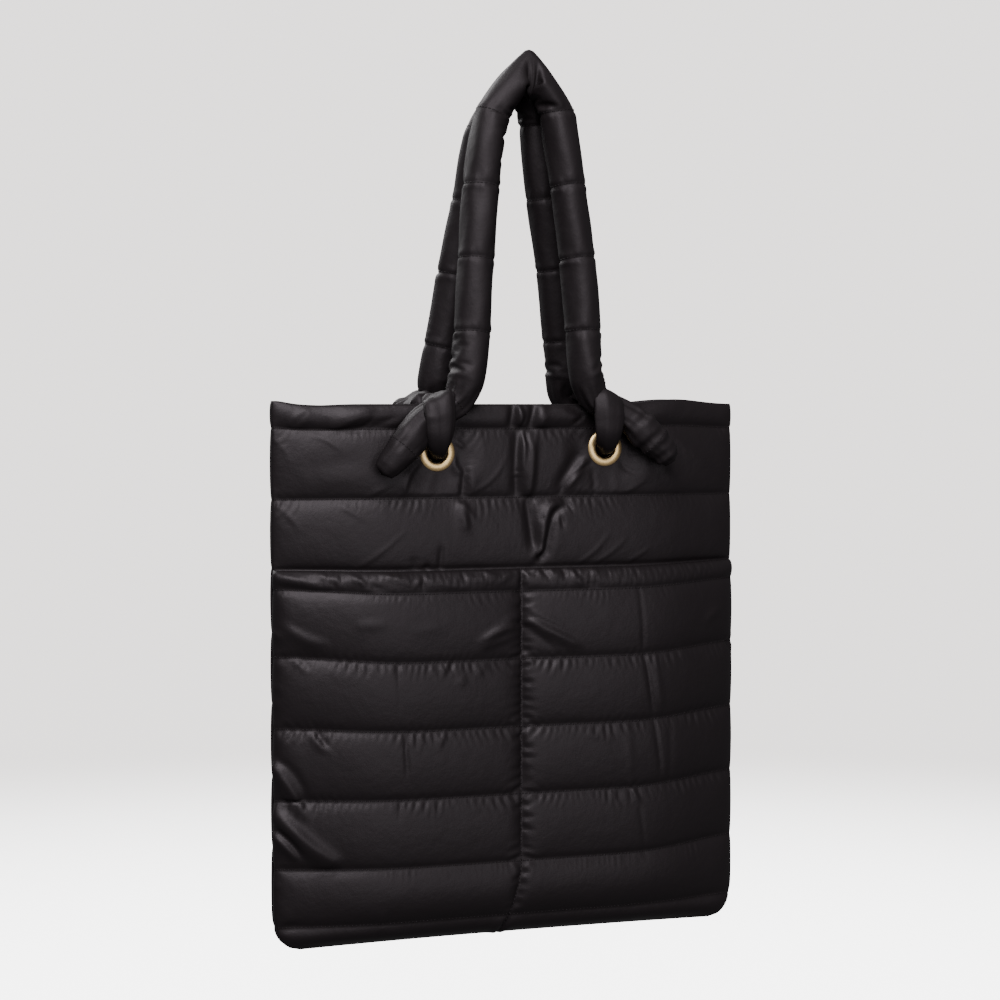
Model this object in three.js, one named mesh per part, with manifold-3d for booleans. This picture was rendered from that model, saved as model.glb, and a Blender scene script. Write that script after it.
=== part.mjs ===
// A puffer tote bag, filled and hung by its handles. Two quilted panels are sewn together at the sides and the
// bottom, and a quilted patch pocket with two compartments covers the lower front. Four eyelets hold two padded
// handles. Each end of a handle goes through its eyelet, loops over the panel's top edge and over the handle
// itself, and leaves a loose tail.
// Millimetres, +Z up. The front faces -Y. The origin is under the peak of the handles, where the bag hangs.
// Inside the bag's own group x is measured from its centre line, z from its bottom seam, and depth is the
// distance forwards or backwards from the plane of its side seams.
import * as THREE from "three";
import { mergeVertices } from "three/addons/utils/BufferGeometryUtils.js";
import Module from "manifold-3d";

const wasm = await Module();
wasm.setup();

// The filled bag
const bagWidth = 402;
const bagHeight = 430;
const fillDepth = 22.5; // from the side seams' plane to the inside of a panel, at the middle
const mouthDepth = 17.5; // the same at the top edge
const creaseAt = 0.5; // share of the half width where the flat middle turns to the side
const bottomRound = 48; // height over which the bottom closes to its seam
const cornerRound = 24; // how far the bottom corners are cut back at the bottom seam
const cornerRise = 32; // height of those corners
const seamClear = 0.3; // between two pieces that are sewn or pressed together

// The quilting
const quiltPitch = 55.5;
const hemDepth = 20; // top edge to the first seam
const bottomStitch = 18; // bottom seam to the lowest row of stitches
const seamWall = 2.4; // wall at a seam
const puffOut = 4.5; // how far a row swells outwards from its seams
const puffIn = 1; // and inwards
const pressedPuff = 2.2; // swelling left in the panel behind the pocket
const sideRise = 6; // the seams climb this far towards the sides
const scallop = 1.2; // the side edge draws in this far at each seam

// The patch pocket
const pocketHeight = 297;
const pocketHem = 18;
const pocketRoom = 7; // how far each compartment stands open at its mouth

// The eyelets
const eyeletSpacing = 146;
const eyeletShift = 4; // the pair lies this far to the right of the bag's centre line
const eyeletDrop = 39; // top edge to the eyelet's centre
const eyeletBore = 8.5; // radius
const barrelWall = 0.9;
const rimRadius = 15;
const rimHeight = 1.7;
const washerRadius = 14;
const washerHeight = 1.1;
const padDepth = 21; // depth of the flat cloth under the rim
const padWall = 3;
const padMargin = 1; // flat cloth beyond the rim

// The handles
const hangRise = 245; // top edge up to the underside of the peak
const hangOffset = 11; // the peak lies this far to the right of the bag's centre line
const handleThickness = 30;
const handlePitch = 59.5;
const frontStretch = 1.36; // the fold at the front handle's peak is this much taller than the handle is thick
const backStretch = 1.05; // and at the back handle's
const peakSqueeze = 0.84; // the two handles press each other this thin at the peak
const legDepth = 33; // depth of a leg at the top edge
const tailLength = 52;
const knotClear = 0.6;
const loopWidth = 24;
const loopThickness = 11;
const loopLean = 5; // its front runs this far to the left of the eyelet's centre
const squeezedThickness = 13.2; // the padded cloth where it fills the eyelet

const halfWidth = bagWidth / 2;
const eyeletX = eyeletSpacing / 2;
const eyeletZ = bagHeight - eyeletDrop;
const padHalf = rimRadius + padMargin;
const panelSeam = bagHeight - hemDepth;
const pocketSeam = pocketHeight - pocketHem;

const clamp01 = (value) => Math.min(1, Math.max(0, value));
const smooth = (value) => clamp01(value) ** 2 * (3 - 2 * clamp01(value));
const mix = (from, to, share) => from + (to - from) * share;

// Swelling of a row between two seams: 0 at both, 1 half way
const puffAt = (share) => Math.pow(Math.max(0, 4 * share * (1 - share)), 0.6);

// A quarter circle from 0 at an edge to 1 at the reach
const roundEdge = (distance, reach) => {
  const share = clamp01(distance / reach);
  return Math.sqrt(share * (2 - share));
};

// How full the bag is across: a flat middle that bends at the crease and runs down to the side seam
function fillAcross(across) {
  const crispness = 5;
  const sideSlope = 1.25;
  const run = (sideSlope * (1 - Math.abs(across))) / (1 - creaseAt);
  return run <= 0 ? 0 : Math.pow(1 + Math.pow(run, -crispness), -1 / crispness);
}

// How full it is at a height: closed at the bottom seam, full in the middle, narrower at the mouth
function fillUp(z) {
  const bottomPower = 0.55;
  const taperStart = 0.58;
  const bottom = Math.pow(1 - (1 - clamp01(z / bottomRound)) ** 2, bottomPower);
  const taper = smooth((z / bagHeight - taperStart) / (1 - taperStart));
  return bottom * mix(1, mouthDepth / fillDepth, taper);
}

// Half the bag's width at a height, with the bottom corners rounded and the edge drawn in at the seams
function halfWidthAt(z, puff) {
  const low = 1 - clamp01(z / cornerRise);
  return halfWidth - cornerRound * (1 - Math.sqrt(1 - low * low)) - scallop * (1 - puff);
}

// The height of a row at a place across: rows between the bottom and the pocket's mouth climb at the sides, and
// the top edge waves
function heightAt(z, across) {
  const riseStart = 0.45;
  const climbs = smooth(z / quiltPitch) * (1 - smooth((z - pocketSeam + pocketHem) / quiltPitch));
  const climb = sideRise * climbs * smooth((Math.abs(across) - riseStart) / (1 - riseStart));
  let wave = 0;
  for (const { at, wide, rise } of mouthWaves) {
    wave += rise * Math.exp(-(((across - at) / wide) ** 2));
  }
  return z + climb + wave * smooth((z - eyeletZ) / eyeletDrop);
}

// Waves of the top edge: place and width as shares of the half width, and rise
const mouthWaves = [
  { at: 0.72, wide: 0.17, rise: 4 },
  { at: -0.99, wide: 0.06, rise: 2.5 },
  { at: -0.8, wide: 0.1, rise: -1 },
];

// Columns across a panel, as shares of its half width. The eyelets' flat cloth lies between two of them.
function panelColumns() {
  const seamEdge = 0.04;
  const columns = [{ across: 0 }];
  for (const side of [-1, 1]) {
    const padFrom = (eyeletX + side * eyeletShift - padHalf) / halfWidth;
    const padTo = (eyeletX + side * eyeletShift + padHalf) / halfWidth;
    for (const share of [seamEdge, padFrom * 0.52]) columns.push({ across: side * share });
    for (const share of [padFrom, padTo]) columns.push({ across: side * share, pad: true });
    for (const share of [0.16, 0.4, 0.68, 0.87, 1]) {
      columns.push({ across: side * mix(padTo, 1, share) });
    }
  }
  return columns.sort((one, other) => one.across - other.across);
}

// Rows up a sheet: each seam, and rows at shares of the swelling between it and the next
function rowsBetween(seams, inside = [0.14, 0.5, 0.86]) {
  const rows = [{ z: seams[0], puff: 0 }];
  for (let i = 1; i < seams.length; i++) {
    for (const share of inside) {
      rows.push({ z: mix(seams[i - 1], seams[i], share), puff: puffAt(share) });
    }
    rows.push({ z: seams[i], puff: 0 });
  }
  return rows;
}

// Seams at the quilting's pitch, downwards from the highest, with the lowest row of stitches last
function seamsDown(highest) {
  const seams = [];
  for (let z = highest; z > bottomStitch + quiltPitch * 0.4; z -= quiltPitch) seams.unshift(z);
  return [bottomStitch, ...seams];
}

// The short rows from the bottom seam up to the lowest stitches
function bottomRows() {
  return [0, 0.3, 0.65].map((share) => ({ z: share * bottomStitch, puff: share * puffAt(share) }));
}

// The rows that end at the top edge: they go round the eyelets' flat cloth
function topRows(seamBelow) {
  const padLow = eyeletZ - padHalf;
  const padHigh = eyeletZ + padHalf;
  const span = panelSeam - seamBelow;
  const inRow = (z) => ({ z, puff: puffAt((z - seamBelow) / span), pad: z > padLow - 1e-6 });
  const inHem = (share) => ({
    z: panelSeam + share * hemDepth,
    puff: 0.55 * puffAt(share),
    pad: true,
  });
  return [
    inRow(mix(seamBelow, padLow, 0.4)),
    inRow(padLow),
    inRow(eyeletZ),
    inRow(padHigh),
    { z: panelSeam, puff: 0, pad: true },
    inHem(0.3),
    inHem(0.75),
    inHem(1),
  ];
}

// Folds of the upper front, between the eyelets: place across and width as shares of the eyelets' spacing,
// ends as shares of the bag's height, depth as a share of the swelling
const upperFolds = [
  { across: 0.055, width: 0.07, low: 0.72, high: 0.95, depth: 0.9 },
  { across: -0.03, width: 0.1, low: 0.7, high: 0.84, depth: -0.3 },
  { across: 0.24, width: 0.09, low: 0.74, high: 0.9, depth: 0.35 },
];

function foldAt(x, z) {
  let depth = 0;
  for (const fold of upperFolds) {
    const side = (x - fold.across * eyeletSpacing) / (fold.width * eyeletSpacing);
    const up = (z / bagHeight - fold.low) / (fold.high - fold.low);
    depth += fold.depth * puffOut * Math.exp(-side * side) * puffAt(clamp01(up));
  }
  return depth;
}

// Outer and inner depth of a panel. Behind the pocket its swelling is pressed flat.
function panelDepths(column, row, covered, folded) {
  const fill = fillDepth * fillAcross(column.across) * fillUp(row.z);
  const edge = roundEdge(1 - Math.abs(column.across), 0.08) * roundEdge(row.z, bottomStitch);
  const inside = seamClear / 2 + fill;
  if (column.pad && row.pad) return { outer: padDepth, inner: padDepth - padWall };
  if (covered) return { outer: inside + seamWall + pressedPuff * edge, inner: inside };
  const x = column.across * halfWidth;
  const fold = folded ? foldAt(x, row.z) * edge : 0;
  const swell = row.puff * edge;
  return { outer: inside + seamWall + puffOut * swell - fold, inner: inside - puffIn * swell };
}

// Outer and inner depth of the pocket, which lies on the panel and stands open at the mouth of each compartment
function pocketDepths(column, row) {
  const behind = panelDepths(column, row, true, false).outer;
  const acrossHalf = Math.abs(column.across);
  const room = puffAt(acrossHalf) * smooth(row.z / (0.8 * pocketHeight)) * pocketRoom;
  const inner = behind + seamClear + room;
  const edge = roundEdge(1 - acrossHalf, 0.08) * roundEdge(row.z, bottomStitch);
  const centreSeam = roundEdge(acrossHalf, 0.09);
  return { outer: inner + seamWall + puffOut * row.puff * edge * centreSeam, inner };
}

// A closed sheet with an outer and an inner face, lofted upwards through its rows
function sheetGeometry(columns, rows, depthsAt, face) {
  const positions = [];
  const indices = [];
  const around = 2 * columns.length;
  const place = (column, row, depth) => {
    const x = column.across * halfWidthAt(row.z, row.puff);
    positions.push(x, face * depth, heightAt(row.z, column.across));
  };
  const quad = (a, b, c, d) => {
    if (face < 0) indices.push(a, b, c, a, c, d);
    else indices.push(a, c, b, a, d, c);
  };
  for (const row of rows) {
    for (const column of columns) place(column, row, depthsAt(column, row).outer);
    for (const column of [...columns].reverse()) place(column, row, depthsAt(column, row).inner);
  }
  // Both faces are split along the same diagonals, so that sheets lying on each other stay clear
  for (let j = 0; j + 1 < rows.length; j++) {
    for (let k = 0; k < around; k++) {
      const next = (k + 1) % around;
      const [a, b] = [j * around + k, j * around + next];
      const [c, d] = [(j + 1) * around + next, (j + 1) * around + k];
      if (k < columns.length) quad(a, b, c, d);
      else quad(b, c, d, a);
    }
  }
  const top = (rows.length - 1) * around;
  for (let i = 0; i + 1 < columns.length; i++) {
    quad(i, around - 1 - i, around - 2 - i, i + 1);
    quad(top + i, top + i + 1, top + around - 2 - i, top + around - 1 - i);
  }
  const geometry = new THREE.BufferGeometry();
  geometry.setAttribute("position", new THREE.Float32BufferAttribute(positions, 3));
  return geometry.setIndex(indices);
}

function toSolid(geometry) {
  const bare = geometry.clone();
  bare.deleteAttribute("normal");
  bare.deleteAttribute("uv");
  const merged = mergeVertices(bare, 1e-4);
  const mesh = new wasm.Mesh({
    numProp: 3,
    vertProperties: new Float32Array(merged.attributes.position.array),
    triVerts: new Uint32Array(merged.index.array),
  });
  return new wasm.Manifold(mesh);
}

function toGeometry(solid) {
  const { vertProperties, triVerts } = solid.getMesh();
  const geometry = new THREE.BufferGeometry();
  geometry.setAttribute("position", new THREE.BufferAttribute(vertProperties, 3));
  geometry.setIndex(new THREE.BufferAttribute(triVerts, 1));
  geometry.computeVertexNormals();
  return geometry;
}

// A panel with its two eyelet holes
function panelGeometry(rows, coveredTo, face) {
  const folded = face < 0;
  const depthsAt = (column, row) => panelDepths(column, row, row.z < coveredTo, folded);
  let solid = toSolid(sheetGeometry(panelColumns(), rows, depthsAt, face));
  const holeRadius = eyeletBore + barrelWall + seamClear;
  const sides = 20;
  for (const side of [-1, 1]) {
    const punch = new THREE.CylinderGeometry(holeRadius, holeRadius, 4 * padWall, sides);
    punch.translate(eyeletShift + side * eyeletX, face * (padDepth - padWall / 2), eyeletZ);
    solid = solid.subtract(toSolid(punch));
  }
  return toGeometry(solid);
}

function frontPanel() {
  const seams = seamsDown(pocketSeam);
  const lower = [...bottomRows(), ...rowsBetween(seams.slice(0, 3))];
  lower.push(...rowsBetween([...seams.slice(2), pocketHeight], [0.5]).slice(1));
  const seamBelow = panelSeam - quiltPitch;
  const upper = rowsBetween([pocketHeight, seamBelow]).slice(1);
  return panelGeometry([...lower, ...upper, ...topRows(seamBelow)], pocketHeight, -1);
}

function backPanel() {
  const seams = seamsDown(panelSeam - quiltPitch);
  const lower = rowsBetween(seams, [0.2, 0.8]);
  const rows = [...bottomRows(), ...lower, ...topRows(panelSeam - quiltPitch)];
  return panelGeometry(rows, 0, 1);
}

function frontPocket() {
  const rows = [...bottomRows(), ...rowsBetween([...seamsDown(pocketSeam), pocketHeight])];
  return sheetGeometry(panelColumns(), rows, pocketDepths, -1);
}

// An eyelet: a rounded rim in front of the cloth, a barrel through it and a flat washer behind it.
// The profile is turned about the eyelet's axis, with the rim towards +Y.
function eyeletGeometry() {
  const barrel = eyeletBore + barrelWall;
  const rimBase = padWall / 2 + seamClear;
  const rimTop = rimBase + rimHeight;
  const washerBase = -padWall / 2 - seamClear;
  const washerTop = washerBase - washerHeight;
  const rimWidth = rimRadius - eyeletBore;
  const profile = [
    [barrel, washerBase],
    [washerRadius, washerBase],
    [washerRadius, washerTop],
    [eyeletBore, washerTop],
    [eyeletBore, rimTop - rimHeight * 0.6],
    [eyeletBore + rimWidth * 0.16, rimTop - rimHeight * 0.15],
    [eyeletBore + rimWidth * 0.5, rimTop],
    [rimRadius - rimWidth * 0.15, rimTop - rimHeight * 0.25],
    [rimRadius, rimBase],
    [barrel, rimBase],
    [barrel, washerBase],
  ];
  const sides = 20;
  const points = profile.map(([radius, height]) => new THREE.Vector2(radius, height)).reverse();
  return new THREE.LatheGeometry(points, sides);
}

// A tube through stations. Each has a centre, a direction, a side direction, and its half width along the side
// direction and half thickness across it. It is capped at its ends, or closed on itself.
function paddedTube(stations, sides, closed) {
  const positions = [];
  const indices = [];
  for (const { centre, along, side, halfWide, halfThick } of stations) {
    const u = side.clone().addScaledVector(along, -side.dot(along)).normalize();
    const v = new THREE.Vector3().crossVectors(along, u);
    for (let k = 0; k < sides; k++) {
      const angle = (2 * Math.PI * k) / sides;
      const point = centre.clone().addScaledVector(u, halfWide * Math.cos(angle));
      positions.push(...point.addScaledVector(v, halfThick * Math.sin(angle)));
    }
  }
  const count = stations.length;
  for (let j = 0; j < (closed ? count : count - 1); j++) {
    const here = j * sides;
    const there = ((j + 1) % count) * sides;
    for (let k = 0; k < sides; k++) {
      const next = (k + 1) % sides;
      indices.push(here + k, here + next, there + next, here + k, there + next, there + k);
    }
  }
  if (!closed) {
    for (const [j, outward] of [[0, -1], [count - 1, 1]]) {
      const { centre, along, halfThick } = stations[j];
      const pole = positions.length / 3;
      positions.push(...centre.clone().addScaledVector(along, outward * halfThick * 0.6));
      for (let k = 0; k < sides; k++) {
        const next = (k + 1) % sides;
        const rim = j * sides;
        if (outward < 0) indices.push(pole, rim + next, rim + k);
        else indices.push(pole, rim + k, rim + next);
      }
    }
  }
  const geometry = new THREE.BufferGeometry();
  geometry.setAttribute("position", new THREE.Float32BufferAttribute(positions, 3));
  return geometry.setIndex(indices);
}

// One leg of a handle from just beside the peak down to the knot. Rise is a share of the peak's height above
// the top edge, spread a share of half the eyelets' spacing.
const frontLeg = [
  { rise: 0.958, spread: 0.19 },
  { rise: 0.912, spread: 0.3 },
  { rise: 0.85, spread: 0.4 },
  { rise: 0.776, spread: 0.468 },
  { rise: 0.672, spread: 0.528 },
  { rise: 0.522, spread: 0.583 },
  { rise: 0.336, spread: 0.635 },
  { rise: 0.179, spread: 0.665 },
  { rise: 0.09, spread: 0.7 },
];
const backLeg = [
  { rise: 0.95, spread: 0.15 },
  { rise: 0.905, spread: 0.23 },
  { rise: 0.85, spread: 0.295 },
  { rise: 0.746, spread: 0.385 },
  { rise: 0.634, spread: 0.455 },
  { rise: 0.485, spread: 0.555 },
  { rise: 0.336, spread: 0.64 },
  { rise: 0.2, spread: 0.71 },
  { rise: 0.1, spread: 0.775 },
];

// The knot, from the leg to where the tail leaves it: places outwards and upwards from the eyelet's centre, and
// forwards from the flat cloth, as shares of the handle's thickness
const knotRoute = [
  { out: -0.5, up: 1.42, off: 0.38 },
  { out: -0.22, up: 1.2, off: 0.34 },
  { out: 0.13, up: 1.05, off: 0.34 },
  { out: 0.53, up: 0.84, off: 0.39 },
];

// The tail, as shares of its length from the knot to its tip, with its size as shares of the handle's half
// thickness and the distance of its centre from the flat cloth as a share of the handle's thickness
const tailRoute = [
  { along: 0.3, off: 0.52, wide: 0.8, thick: 0.62 },
  { along: 0.62, off: 0.53, wide: 0.74, thick: 0.58 },
  { along: 0.88, off: 0.48, wide: 0.58, thick: 0.42 },
  { along: 1, off: 0.45, wide: 0.42, thick: 0.3 },
];
const tailAngles = { "-1": 50, 1: 42 }; // degrees below level, for the left and the right tail

const peakDepth = (handleThickness / 2) * peakSqueeze + seamClear;

// The centre line of half a handle, from beside the peak to the tail's tip
function halfHandleCurve(leg, side, face, peakRise) {
  const points = leg.map(({ rise, spread }) => {
    const leanShare = 0.35 * smooth(rise / 0.3) + 0.65 * smooth((rise - 0.8) / 0.2);
    const lean = (hangOffset - eyeletShift) * leanShare;
    const depth = mix(legDepth, peakDepth, rise);
    const x = eyeletShift + lean + side * spread * eyeletX;
    return new THREE.Vector3(x, face * depth, bagHeight + rise * peakRise);
  });
  const fromEyelet = (out, up, off) =>
    new THREE.Vector3(
      eyeletShift + side * (eyeletX + out),
      face * (padDepth + off * handleThickness),
      eyeletZ + up,
    );
  for (const { out, up, off } of knotRoute) {
    points.push(fromEyelet(out * handleThickness, up * handleThickness, off));
  }
  const start = knotRoute[knotRoute.length - 1];
  const angle = THREE.MathUtils.degToRad(tailAngles[side]);
  for (const { along, off } of tailRoute) {
    const out = start.out * handleThickness + along * tailLength * Math.cos(angle);
    const up = start.up * handleThickness - along * tailLength * Math.sin(angle);
    points.push(fromEyelet(out, up, off));
  }
  return new THREE.CatmullRomCurve3(points, false, "centripetal");
}

// Half width and half thickness of the handle at a distance from the peak: it swells between its quilting
// seams, narrows into the knot and tapers along the tail
function handleSize(distance, length, firstSeam) {
  const half = handleThickness / 2;
  const squeeze = mix(peakSqueeze, 1, smooth(distance / (2 * handleThickness)));
  const knotStart = length - tailLength - 1.8 * handleThickness;
  const tailStart = length - tailLength;
  const seamShare = (((distance - firstSeam) / handlePitch) % 1 + 1) % 1;
  const swell = mix(0.88, 1, puffAt(seamShare));
  const knotted = smooth((distance - knotStart) / (0.75 * handleThickness));
  if (distance <= tailStart) {
    return {
      wide: half * mix(swell, 0.78, knotted),
      thick: half * squeeze * mix(swell, 0.58, knotted),
    };
  }
  const along = (distance - tailStart) / tailLength;
  const stops = [{ along: 0, wide: 0.78, thick: 0.58 }, ...tailRoute];
  const i = Math.max(1, stops.findIndex((stop) => along <= stop.along + 1e-6));
  const share = (along - stops[i - 1].along) / (stops[i].along - stops[i - 1].along);
  return {
    wide: half * mix(stops[i - 1].wide, stops[i].wide, share),
    thick: half * mix(stops[i - 1].thick, stops[i].thick, share),
  };
}

// Stations down half a handle: at each quilting seam and three times between two of them
function halfHandleStations(curve, face, firstSeam) {
  const length = curve.getLength();
  const distances = [];
  for (let seam = firstSeam - handlePitch; seam < length; seam += handlePitch) {
    for (const share of [0, 0.16, 0.5, 0.84]) distances.push(seam + share * handlePitch);
  }
  const used = distances.filter((d) => d > 1 && d < length - tailLength * 0.95);
  const tailStops = tailRoute.map(({ along }) => length - tailLength * (1 - along));
  return [0.5, ...used, ...tailStops].map((distance) => {
    const share = clamp01(distance / length);
    const { wide, thick } = handleSize(distance, length, firstSeam);
    return {
      centre: curve.getPointAt(share),
      along: curve.getTangentAt(share),
      side: new THREE.Vector3(0, face, 0),
      halfWide: thick,
      halfThick: wide,
    };
  });
}

// The loop that ties the handle down: out through the eyelet, up in front of the handle, over the top edge of
// the panel and down inside. Depth and height of each point, and its half width and half thickness.
function tieLoop(side, face) {
  const squeezed = squeezedThickness / 2;
  const thick = loopThickness / 2;
  const wide = loopWidth / 2;
  const wallMiddle = padDepth - padWall / 2;
  const rimFace = padDepth + seamClear + rimHeight;
  const front = padDepth + knotClear + 0.5 * handleThickness + thick;
  const inside = padDepth - padWall - seamClear - washerHeight - knotClear - thick;
  const over = bagHeight + 2 * knotClear + thick;
  const height = (share) => mix(eyeletZ, over, share);
  const route = [
    { depth: wallMiddle, z: height(0.02), wide: squeezed, thick: squeezed },
    { depth: rimFace + squeezed * 0.7, z: height(0.04), wide: squeezed, thick: squeezed },
    { depth: mix(rimFace, front, 0.68), z: height(0.13), wide: 0.75 * wide, thick: 0.98 * thick },
    { depth: mix(rimFace, front, 0.95), z: height(0.32), wide: 0.9 * wide, thick },
    { depth: front, z: height(0.55), wide, thick },
    { depth: front, z: height(0.78), wide, thick },
    { depth: mix(wallMiddle, front, 0.82), z: height(1.02), wide, thick },
    { depth: mix(wallMiddle, front, 0.45), z: over, wide: 0.95 * wide, thick },
    { depth: wallMiddle, z: over, wide: 0.85 * wide, thick },
    { depth: mix(inside, wallMiddle, 0.08), z: height(0.9), wide: 0.75 * wide, thick: 0.95 * thick },
    { depth: inside, z: height(0.68), wide: 0.7 * wide, thick: 0.95 * thick },
    { depth: inside, z: height(0.4), wide: 0.65 * wide, thick: 0.95 * thick },
    { depth: inside, z: height(0.14), wide: 0.6 * wide, thick: 0.9 * thick },
    { depth: mix(inside, wallMiddle, 0.3), z: height(-0.02), wide: squeezed, thick: 0.82 * thick },
  ];
  const points = route.map(({ depth, z }) => {
    const lean = loopLean * smooth((depth - rimFace) / (front - rimFace));
    return new THREE.Vector3(eyeletShift + side * eyeletX - lean, face * depth, z);
  });
  const curve = new THREE.CatmullRomCurve3(points, true, "centripetal");
  const count = 18;
  const stations = [];
  for (let i = 0; i < count; i++) {
    const place = (i / count) * route.length;
    const low = Math.floor(place);
    const here = route[low];
    const next = route[(low + 1) % route.length];
    stations.push({
      centre: curve.getPoint(i / count),
      along: curve.getTangent(i / count),
      side: new THREE.Vector3(1, 0, 0),
      halfWide: mix(here.wide, next.wide, place - low),
      halfThick: mix(here.thick, next.thick, place - low),
    });
  }
  return paddedTube(stations, 8, true);
}

// A handle: two legs that meet in a fold at the peak, run through the knots into the tails, and two tie loops
function handleGeometry(leg, face, stretch, firstSeam) {
  const sides = 10;
  const peakHalf = (handleThickness * stretch) / 2;
  const peakRise = hangRise + peakHalf + 1;
  const halves = [-1, 1].map((side) =>
    halfHandleStations(halfHandleCurve(leg, side, face, peakRise), face, firstSeam),
  );
  const peak = {
    centre: new THREE.Vector3(hangOffset, face * peakDepth, bagHeight + peakRise),
    along: new THREE.Vector3(1, 0, 0),
    side: new THREE.Vector3(0, face, 0),
    halfWide: (handleThickness / 2) * peakSqueeze,
    halfThick: peakHalf,
  };
  const leftUpwards = halves[0]
    .reverse()
    .map((station) => ({ ...station, along: station.along.clone().negate() }));
  let solid = toSolid(paddedTube([...leftUpwards, peak, ...halves[1]], sides, false));
  if (solid.volume() < 0) throw new Error("a handle is inside out");
  for (const side of [-1, 1]) solid = solid.add(toSolid(tieLoop(side, face)));
  return toGeometry(solid);
}

const cloth = { color: 0x1c1a1b, roughness: 0.5, metalness: 0 };
const gold = { color: 0xd9b27c, roughness: 0.28, metalness: 1 };

function piece(name, geometry, finish) {
  const mesh = new THREE.Mesh(geometry, new THREE.MeshStandardMaterial(finish));
  mesh.name = name;
  return mesh;
}

function eyelet(name, side, face) {
  const mesh = piece(name, eyeletGeometry(), gold);
  mesh.position.set(eyeletShift + side * eyeletX, face * (padDepth - padWall / 2), eyeletZ);
  if (face < 0) mesh.rotation.x = Math.PI;
  return mesh;
}

const bag = new THREE.Group();
bag.add(piece("front_panel", frontPanel(), cloth));
bag.add(piece("back_panel", backPanel(), cloth));
bag.add(piece("front_pocket", frontPocket(), cloth));
bag.add(eyelet("eyelet_front_left", -1, -1));
bag.add(eyelet("eyelet_front_right", 1, -1));
bag.add(eyelet("eyelet_back_left", -1, 1));
bag.add(eyelet("eyelet_back_right", 1, 1));
bag.add(piece("handle_front", handleGeometry(frontLeg, -1, frontStretch, 0.69 * handlePitch), cloth));
bag.add(piece("handle_back", handleGeometry(backLeg, 1, backStretch, 0.91 * handlePitch), cloth));
bag.position.set(-hangOffset, 0, -(bagHeight + hangRise));

const tote = new THREE.Group();
tote.add(bag);
export default tote;
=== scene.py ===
import bpy
import numpy as np
from mathutils import Euler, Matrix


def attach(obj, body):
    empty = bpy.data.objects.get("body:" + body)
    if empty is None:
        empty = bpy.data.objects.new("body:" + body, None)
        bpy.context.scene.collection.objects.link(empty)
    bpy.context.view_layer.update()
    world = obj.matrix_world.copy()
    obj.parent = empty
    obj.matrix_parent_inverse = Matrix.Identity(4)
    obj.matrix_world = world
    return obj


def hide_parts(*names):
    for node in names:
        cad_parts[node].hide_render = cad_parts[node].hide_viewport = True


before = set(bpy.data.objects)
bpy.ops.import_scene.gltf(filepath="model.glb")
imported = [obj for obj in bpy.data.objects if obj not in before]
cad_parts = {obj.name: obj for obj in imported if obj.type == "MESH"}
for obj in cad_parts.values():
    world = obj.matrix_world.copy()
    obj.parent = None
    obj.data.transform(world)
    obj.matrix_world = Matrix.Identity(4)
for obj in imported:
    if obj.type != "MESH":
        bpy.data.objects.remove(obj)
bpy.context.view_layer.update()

# Sizes in millimetres, as in the CAD: x from the bag's centre line, z from its bottom seam,
# depth from the plane of the side seams, -Y to the front
halfWidth = 201.0
bagHeight = 430.0
fillDepth = 22.5
mouthDepth = 17.5
seamClear = 0.3
seamGap = 0.04
seamWall = 2.4
corner = {"wide": 20.0, "high": 27.0}
seamDip = 1.2
pressedPuff = 2.2
pocketHeight = 297.0
pocketSeam = 279.0
pocketRoom = 7.0
pocketPitch = 54.8
hemRoll = 1.6
panelPitch = 55.5
panelSeam = 410.0
bottomStitch = 18.0
eyeletX = 73.0
eyeletShift = 4.0
eyeletZ = 391.0
eyeletLift = [0.0, 3.0]
padDepth = 21.0
padWall = 3.0
padRadius = 17.0
holeRadius = 8.8
hangRise = 245.0
hangOffset = 11.0
peakX = 13.0
handleThickness = 30.0
handlePitch = 59.5
handleSwell = (0.92, 0.98)
peakSqueeze = 0.84
foldSqueeze = 0.78
peakDepth = handleThickness / 2 * peakSqueeze + seamClear
shoulder = 9.0
tuck = 8.0
legDepth = 33.0
tailLength = 52.0
bagOrigin = np.array([-hangOffset, 0.0, -(bagHeight + hangRise)])
rng = np.random.default_rng(7)

# The cloth: how hard it bends, how much of a step it keeps, its first unevenness and the depth over which the wadding
# stops pushing, both in millimetres, and how often the springs are set right in a step
cloth = {"bend": 0.12, "keep": 0.9, "uneven": 0.12, "stop": 1.5, "rounds": 3}
stitch = {"pitch": 3.1, "length": 2.1, "radius": 0.38, "lift": 0.15}


def clamp(value, low=0.0, high=1.0):
    return np.minimum(high, np.maximum(low, value))


# Eased share: 3 s squared less 2 s cubed
def smooth(value):
    share = clamp(value)
    return share * share * (3 - 2 * share)


def mix(start, end, share):
    return start + (end - start) * share


# Bell curve: 1 in the middle, 0.37 at the width
def bell(distance, width):
    return np.exp(-(distance / width) ** 2)


# Swelling of a row between two seams: 0 at both, 1 half way
def puffAt(share):
    return np.maximum(0, 4 * share * (1 - share)) ** 0.6


# Quarter circle over the reach: 0 at the edge, 1 at the reach and beyond
def roundEdge(distance, reach):
    share = clamp(distance / reach)
    return np.sqrt(share * (2 - share))


# How full the bag is across: a flat middle that bends at the crease and runs down to the side
def fillAcross(across):
    run = np.maximum(1e-6, 2.5 * (1 - np.abs(across)))
    return (1 + run ** -5.0) ** -0.2


# How full the bag is upwards: a rounded bottom over 48 mm, and flatter towards the mouth
def fillUp(z):
    bottom = (1 - (1 - clamp(z / 48)) ** 2) ** 0.55
    return bottom * mix(1, mouthDepth / fillDepth, smooth((z / bagHeight - 0.58) / 0.42))


# Half the width at a height: an elliptic corner at the bottom and a small dip at each seam
def halfWidthAt(z, puff):
    low = 1 - clamp(z / corner["high"])
    return halfWidth - corner["wide"] * (1 - np.sqrt(1 - low * low)) - seamDip * (1 - puff)


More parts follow.
